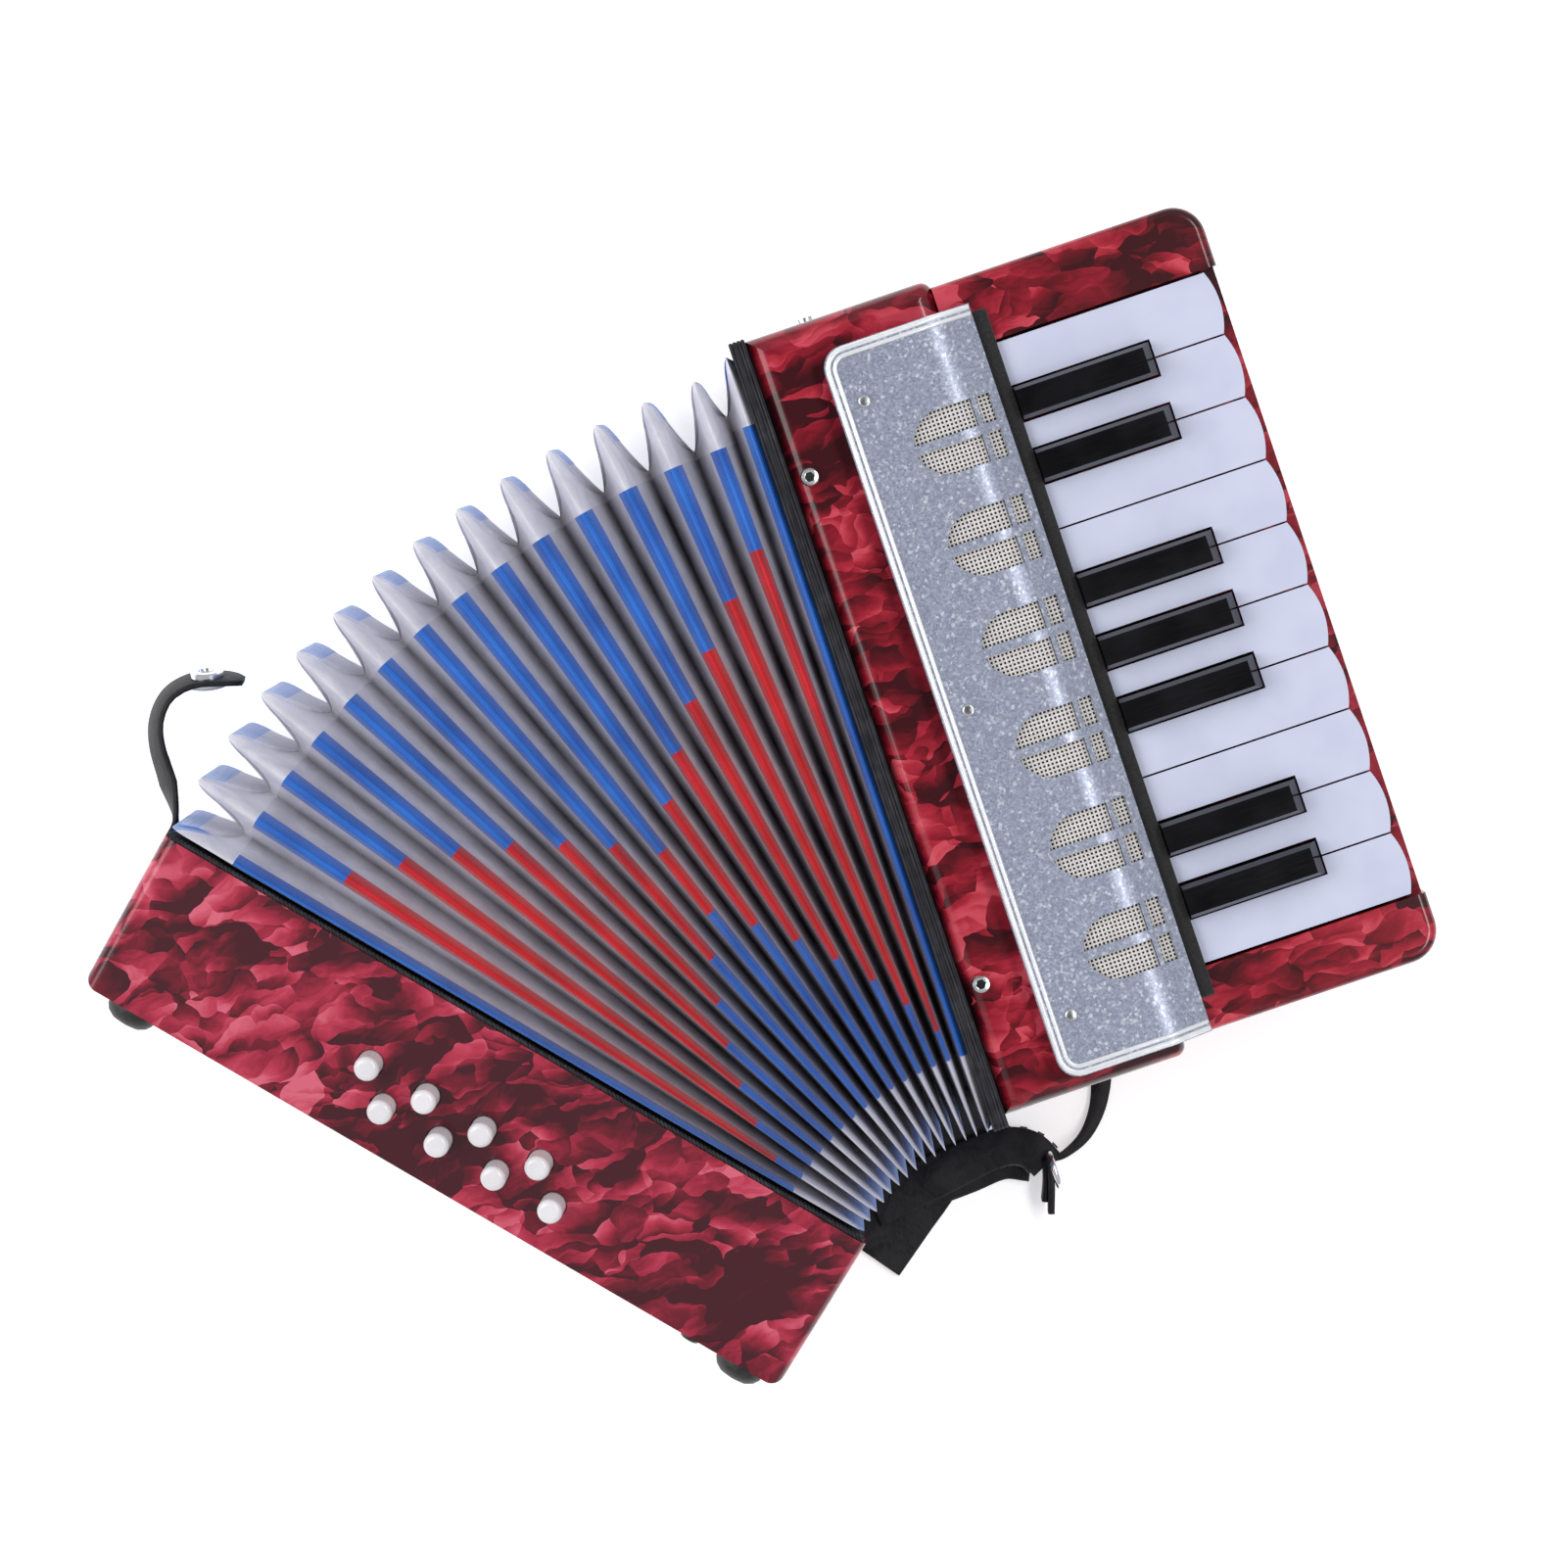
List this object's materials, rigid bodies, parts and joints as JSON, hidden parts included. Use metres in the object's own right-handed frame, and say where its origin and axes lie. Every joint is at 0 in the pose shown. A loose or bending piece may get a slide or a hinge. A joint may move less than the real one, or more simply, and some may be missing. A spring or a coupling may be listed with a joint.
{
  "type": "piano accordion",
  "caption": "Small piano accordion lying on its back, bellows fanned open, with sprung piano keys, bass buttons, grille, straps and a hinged chain of bellows folds.",
  "frame": {"origin": "under the middle of the outline, on the surface the instrument lies on", "axes": "+Z out of the playing side, +Y along the keyboard to the open end of the bellows, +X from the bass side to the keyboard"},
  "size_m": [0.3517, 0.2734, 0.091],
  "materials": {
    "red_celluloid": "pearl, glossy",
    "black_panel": "satin",
    "glitter_grille": "silver glitter",
    "gauze": "woven",
    "steel": "satin",
    "spruce": "bare",
    "black_cloth": "book cloth",
    "chrome": "polished",
    "black_leather": "grained",
    "lining_leather": "thin leatherette",
    "bellows_cloth": "ribbed tape",
    "white_key_plastic": "glossy",
    "black_key_plastic": "glossy",
    "button_plastic": "glossy",
    "black_plastic": "glossy",
    "black_rubber": "satin"
  },
  "bodies": {
    "treble": {"treble_casing": "red_celluloid", "treble_back_cover": "black_panel", "keyboard_bed": "red_celluloid", "grille": "glitter_grille", "grille_gauze_and_felt": "gauze", "key_axle_and_springs": "steel", "sound_board": "spruce", "treble_reed_block": "spruce", "treble_bellows_frame": "black_cloth", "treble_fasteners": "chrome", "strap_hardware": "chrome", "shoulder_strap": "black_leather", "bellows_lining": "lining_leather"},
    "fold_01": {"fold_01": "bellows_cloth"},
    "fold_02": {"fold_02": "bellows_cloth"},
    "fold_03": {"fold_03": "bellows_cloth"},
    "fold_04": {"fold_04": "bellows_cloth"},
    "fold_05": {"fold_05": "bellows_cloth"},
    "fold_06": {"fold_06": "bellows_cloth"},
    "fold_07": {"fold_07": "bellows_cloth"},
    "fold_08": {"fold_08": "bellows_cloth"},
    "fold_09": {"fold_09": "bellows_cloth"},
    "fold_10": {"fold_10": "bellows_cloth"},
    "fold_11": {"fold_11": "bellows_cloth"},
    "fold_12": {"fold_12": "bellows_cloth"},
    "fold_13": {"fold_13": "bellows_cloth"},
    "bass": {"bass_casing": "red_celluloid", "bass_back_cover": "black_panel", "bass_bellows_frame": "bellows_cloth", "bass_small_fittings": "black_rubber", "bass_action_board": "spruce", "bass_springs": "steel", "wrist_strap": "black_leather"},
    "bellows_strap": {"bellows_strap": "black_leather"},
    "air_button": {"air_button": "black_plastic"},
    "white_key_01": {"white_key_01": "white_key_plastic"},
    "black_key_01": {"black_key_01": "black_key_plastic"},
    "white_key_02": {"white_key_02": "white_key_plastic"},
    "black_key_02": {"black_key_02": "black_key_plastic"},
    "white_key_03": {"white_key_03": "white_key_plastic"},
    "white_key_04": {"white_key_04": "white_key_plastic"},
    "black_key_03": {"black_key_03": "black_key_plastic"},
    "white_key_05": {"white_key_05": "white_key_plastic"},
    "black_key_04": {"black_key_04": "black_key_plastic"},
    "white_key_06": {"white_key_06": "white_key_plastic"},
    "black_key_05": {"black_key_05": "black_key_plastic"},
    "white_key_07": {"white_key_07": "white_key_plastic"},
    "white_key_08": {"white_key_08": "white_key_plastic"},
    "black_key_06": {"black_key_06": "black_key_plastic"},
    "white_key_09": {"white_key_09": "white_key_plastic"},
    "black_key_07": {"black_key_07": "black_key_plastic"},
    "white_key_10": {"white_key_10": "white_key_plastic"},
    "bass_button_1": {"bass_button_1": "button_plastic"},
    "bass_button_2": {"bass_button_2": "button_plastic"},
    "bass_button_3": {"bass_button_3": "button_plastic"},
    "bass_button_4": {"bass_button_4": "button_plastic"},
    "bass_button_5": {"bass_button_5": "button_plastic"},
    "bass_button_6": {"bass_button_6": "button_plastic"},
    "bass_button_7": {"bass_button_7": "button_plastic"},
    "bass_button_8": {"bass_button_8": "button_plastic"}
  },
  "joints": [
    {"name": "bellows_01", "type": "hinge", "parent": "treble", "child": "fold_01", "pos_m": [0.04183, -0.09016, 0.045], "axis": [0, 0, 1], "range_deg": [-1.9, 0.63], "deforming": ["bellows_lining"]},
    {"name": "bellows_02", "type": "hinge", "parent": "fold_01", "child": "fold_02", "pos_m": [0.03877, -0.09026, 0.045], "axis": [0, 0, 1], "range_deg": [-3.01, 1]},
    {"name": "bellows_03", "type": "hinge", "parent": "fold_02", "child": "fold_03", "pos_m": [0.03572, -0.09052, 0.045], "axis": [0, 0, 1], "range_deg": [-3.01, 1]},
    {"name": "bellows_04", "type": "hinge", "parent": "fold_03", "child": "fold_04", "pos_m": [0.03269, -0.09094, 0.045], "axis": [0, 0, 1], "range_deg": [-3.01, 1]},
    {"name": "bellows_05", "type": "hinge", "parent": "fold_04", "child": "fold_05", "pos_m": [0.02969, -0.09152, 0.045], "axis": [0, 0, 1], "range_deg": [-3.01, 1]},
    {"name": "bellows_06", "type": "hinge", "parent": "fold_05", "child": "fold_06", "pos_m": [0.02672, -0.09226, 0.045], "axis": [0, 0, 1], "range_deg": [-3.01, 1]},
    {"name": "bellows_07", "type": "hinge", "parent": "fold_06", "child": "fold_07", "pos_m": [0.02379, -0.09315, 0.045], "axis": [0, 0, 1], "range_deg": [-3.01, 1]},
    {"name": "bellows_08", "type": "hinge", "parent": "fold_07", "child": "fold_08", "pos_m": [0.02091, -0.0942, 0.045], "axis": [0, 0, 1], "range_deg": [-3.01, 1]},
    {"name": "bellows_09", "type": "hinge", "parent": "fold_08", "child": "fold_09", "pos_m": [0.0181, -0.09539, 0.045], "axis": [0, 0, 1], "range_deg": [-3.01, 1]},
    {"name": "bellows_10", "type": "hinge", "parent": "fold_09", "child": "fold_10", "pos_m": [0.01534, -0.09673, 0.045], "axis": [0, 0, 1], "range_deg": [-3.01, 1]},
    {"name": "bellows_11", "type": "hinge", "parent": "fold_10", "child": "fold_11", "pos_m": [0.01267, -0.09821, 0.045], "axis": [0, 0, 1], "range_deg": [-3.01, 1]},
    {"name": "bellows_12", "type": "hinge", "parent": "fold_11", "child": "fold_12", "pos_m": [0.01007, -0.09983, 0.045], "axis": [0, 0, 1], "range_deg": [-3.01, 1]},
    {"name": "bellows_13", "type": "hinge", "parent": "fold_12", "child": "fold_13", "pos_m": [0.00756, -0.10159, 0.045], "axis": [0, 0, 1], "range_deg": [-3.01, 1]},
    {"name": "bellows_14", "type": "hinge", "parent": "fold_13", "child": "bass", "pos_m": [0.00515, -0.10347, 0.045], "axis": [0, 0, 1], "range_deg": [-3.01, 1]},
    {"name": "white_key_01_press", "type": "hinge", "parent": "treble", "child": "white_key_01", "pos_m": [0.09539, 0.10754, 0.0695], "axis": [0, 1, 0], "range_deg": [0, 3], "stiffness_Nm_per_rad": 0.15, "springref_deg": -6.88},
    {"name": "black_key_01_press", "type": "hinge", "parent": "treble", "child": "black_key_01", "pos_m": [0.09539, 0.09695, 0.0695], "axis": [0, 1, 0], "range_deg": [0, 3], "stiffness_Nm_per_rad": 0.15, "springref_deg": -6.88},
    {"name": "white_key_02_press", "type": "hinge", "parent": "treble", "child": "white_key_02", "pos_m": [0.09539, 0.08635, 0.0695], "axis": [0, 1, 0], "range_deg": [0, 3], "stiffness_Nm_per_rad": 0.15, "springref_deg": -6.88},
    {"name": "black_key_02_press", "type": "hinge", "parent": "treble", "child": "black_key_02", "pos_m": [0.09539, 0.07575, 0.0695], "axis": [0, 1, 0], "range_deg": [0, 3], "stiffness_Nm_per_rad": 0.15, "springref_deg": -6.88},
    {"name": "white_key_03_press", "type": "hinge", "parent": "treble", "child": "white_key_03", "pos_m": [0.09539, 0.06516, 0.0695], "axis": [0, 1, 0], "range_deg": [0, 3], "stiffness_Nm_per_rad": 0.15, "springref_deg": -6.88},
    {"name": "white_key_04_press", "type": "hinge", "parent": "treble", "child": "white_key_04", "pos_m": [0.09539, 0.05481, 0.0695], "axis": [0, 1, 0], "range_deg": [0, 3], "stiffness_Nm_per_rad": 0.15, "springref_deg": -6.88},
    {"name": "black_key_03_press", "type": "hinge", "parent": "treble", "child": "black_key_03", "pos_m": [0.09539, 0.04472, 0.0695], "axis": [0, 1, 0], "range_deg": [0, 3], "stiffness_Nm_per_rad": 0.15, "springref_deg": -6.88},
    {"name": "white_key_05_press", "type": "hinge", "parent": "treble", "child": "white_key_05", "pos_m": [0.09539, 0.03463, 0.0695], "axis": [0, 1, 0], "range_deg": [0, 3], "stiffness_Nm_per_rad": 0.15, "springref_deg": -6.88},
    {"name": "black_key_04_press", "type": "hinge", "parent": "treble", "child": "black_key_04", "pos_m": [0.09539, 0.02454, 0.0695], "axis": [0, 1, 0], "range_deg": [0, 3], "stiffness_Nm_per_rad": 0.15, "springref_deg": -6.88},
    {"name": "white_key_06_press", "type": "hinge", "parent": "treble", "child": "white_key_06", "pos_m": [0.09539, 0.01445, 0.0695], "axis": [0, 1, 0], "range_deg": [0, 3], "stiffness_Nm_per_rad": 0.15, "springref_deg": -6.88},
    {"name": "black_key_05_press", "type": "hinge", "parent": "treble", "child": "black_key_05", "pos_m": [0.09539, 0.00436, 0.0695], "axis": [0, 1, 0], "range_deg": [0, 3], "stiffness_Nm_per_rad": 0.15, "springref_deg": -6.88},
    {"name": "white_key_07_press", "type": "hinge", "parent": "treble", "child": "white_key_07", "pos_m": [0.09539, -0.00573, 0.0695], "axis": [0, 1, 0], "range_deg": [0, 3], "stiffness_Nm_per_rad": 0.15, "springref_deg": -6.88},
    {"name": "white_key_08_press", "type": "hinge", "parent": "treble", "child": "white_key_08", "pos_m": [0.09539, -0.01608, 0.0695], "axis": [0, 1, 0], "range_deg": [0, 3], "stiffness_Nm_per_rad": 0.15, "springref_deg": -6.88},
    {"name": "black_key_06_press", "type": "hinge", "parent": "treble", "child": "black_key_06", "pos_m": [0.09539, -0.02667, 0.0695], "axis": [0, 1, 0], "range_deg": [0, 3], "stiffness_Nm_per_rad": 0.15, "springref_deg": -6.88},
    {"name": "white_key_09_press", "type": "hinge", "parent": "treble", "child": "white_key_09", "pos_m": [0.09539, -0.03727, 0.0695], "axis": [0, 1, 0], "range_deg": [0, 3], "stiffness_Nm_per_rad": 0.15, "springref_deg": -6.88},
    {"name": "black_key_07_press", "type": "hinge", "parent": "treble", "child": "black_key_07", "pos_m": [0.09539, -0.04787, 0.0695], "axis": [0, 1, 0], "range_deg": [0, 3], "stiffness_Nm_per_rad": 0.15, "springref_deg": -6.88},
    {"name": "white_key_10_press", "type": "hinge", "parent": "treble", "child": "white_key_10", "pos_m": [0.09539, -0.05846, 0.0695], "axis": [0, 1, 0], "range_deg": [0, 3], "stiffness_Nm_per_rad": 0.15, "springref_deg": -6.88},
    {"name": "bass_button_1_press", "type": "slide", "parent": "bass", "child": "bass_button_1", "axis": [0.1849, 0.1607, -0.9695], "range_m": [0, 0.0035], "stiffness_N_per_m": 80, "springref_m": -0.004, "deforming": ["bass_springs"]},
    {"name": "bass_button_2_press", "type": "slide", "parent": "bass", "child": "bass_button_2", "axis": [0.1849, 0.1607, -0.9695], "range_m": [0, 0.0035], "stiffness_N_per_m": 80, "springref_m": -0.004},
    {"name": "bass_button_3_press", "type": "slide", "parent": "bass", "child": "bass_button_3", "axis": [0.1849, 0.1607, -0.9695], "range_m": [0, 0.0035], "stiffness_N_per_m": 80, "springref_m": -0.004},
    {"name": "bass_button_4_press", "type": "slide", "parent": "bass", "child": "bass_button_4", "axis": [0.1849, 0.1607, -0.9695], "range_m": [0, 0.0035], "stiffness_N_per_m": 80, "springref_m": -0.004},
    {"name": "bass_button_5_press", "type": "slide", "parent": "bass", "child": "bass_button_5", "axis": [0.1849, 0.1607, -0.9695], "range_m": [0, 0.0035], "stiffness_N_per_m": 80, "springref_m": -0.004},
    {"name": "bass_button_6_press", "type": "slide", "parent": "bass", "child": "bass_button_6", "axis": [0.1849, 0.1607, -0.9695], "range_m": [0, 0.0035], "stiffness_N_per_m": 80, "springref_m": -0.004},
    {"name": "bass_button_7_press", "type": "slide", "parent": "bass", "child": "bass_button_7", "axis": [0.1849, 0.1607, -0.9695], "range_m": [0, 0.0035], "stiffness_N_per_m": 80, "springref_m": -0.004},
    {"name": "bass_button_8_press", "type": "slide", "parent": "bass", "child": "bass_button_8", "axis": [0.1849, 0.1607, -0.9695], "range_m": [0, 0.0035], "stiffness_N_per_m": 80, "springref_m": -0.004},
    {"name": "air_button_press", "type": "slide", "parent": "bass", "child": "air_button", "axis": [0.7547, 0.6561, 0], "range_m": [0, 0.0025], "stiffness_N_per_m": 80, "springref_m": -0.004},
    {"name": "bellows_strap_flex", "type": "hinge", "parent": "bass", "child": "bellows_strap", "pos_m": [-0.14616, 0.05795, 0.045], "axis": [0, 0, 1], "range_deg": [0, 30]}
  ],
  "couplings": [
    {"joint": "bellows_01", "follows": "bellows_02", "ratio": 0.63171},
    {"joint": "bellows_03", "follows": "bellows_02", "ratio": 1},
    {"joint": "bellows_04", "follows": "bellows_02", "ratio": 1},
    {"joint": "bellows_05", "follows": "bellows_02", "ratio": 1},
    {"joint": "bellows_06", "follows": "bellows_02", "ratio": 1},
    {"joint": "bellows_07", "follows": "bellows_02", "ratio": 1},
    {"joint": "bellows_08", "follows": "bellows_02", "ratio": 1},
    {"joint": "bellows_09", "follows": "bellows_02", "ratio": 1},
    {"joint": "bellows_10", "follows": "bellows_02", "ratio": 1},
    {"joint": "bellows_11", "follows": "bellows_02", "ratio": 1},
    {"joint": "bellows_12", "follows": "bellows_02", "ratio": 1},
    {"joint": "bellows_13", "follows": "bellows_02", "ratio": 1},
    {"joint": "bellows_14", "follows": "bellows_02", "ratio": 1}
  ]
}
